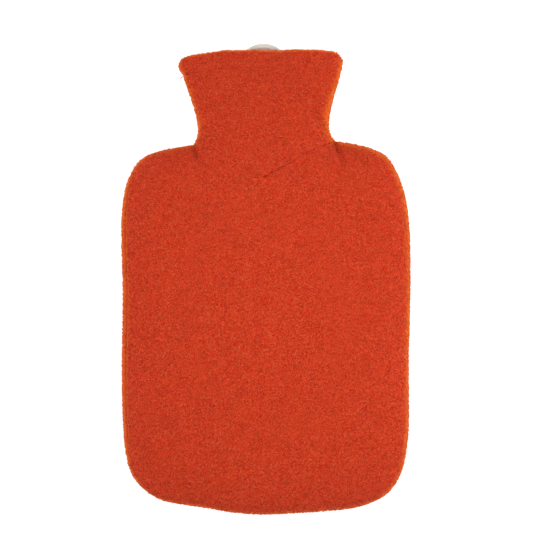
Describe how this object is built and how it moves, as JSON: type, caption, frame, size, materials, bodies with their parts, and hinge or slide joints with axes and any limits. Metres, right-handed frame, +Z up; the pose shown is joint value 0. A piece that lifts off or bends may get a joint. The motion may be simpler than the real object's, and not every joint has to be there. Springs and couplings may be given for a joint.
{
  "type": "hot water bottle cover on a hot water bottle",
  "caption": "Soft fleece cover with a flared neck and turned hem, fitted on a plain hot water bottle whose round grip shows at the mouth.",
  "frame": {"origin": "middle of the underside of the whole object, on the surface that it lies on", "axes": "+Y along the length towards the neck and its open mouth, +Z up out of the front panel, +X to the right seen from the front"},
  "size_m": [0.2058, 0.335, 0.0346],
  "materials": {
    "fleece": "orange micro-fleece with a short dense pile",
    "bottle_rubber": "satin",
    "stopper_plastic": "translucent, pale, smooth"
  },
  "bodies": {
    "root": {"front_panel": "fleece", "neck_front": "fleece", "back_panel": "fleece", "bottle": "bottle_rubber", "stopper": "stopper_plastic"}
  },
  "joints": []
}
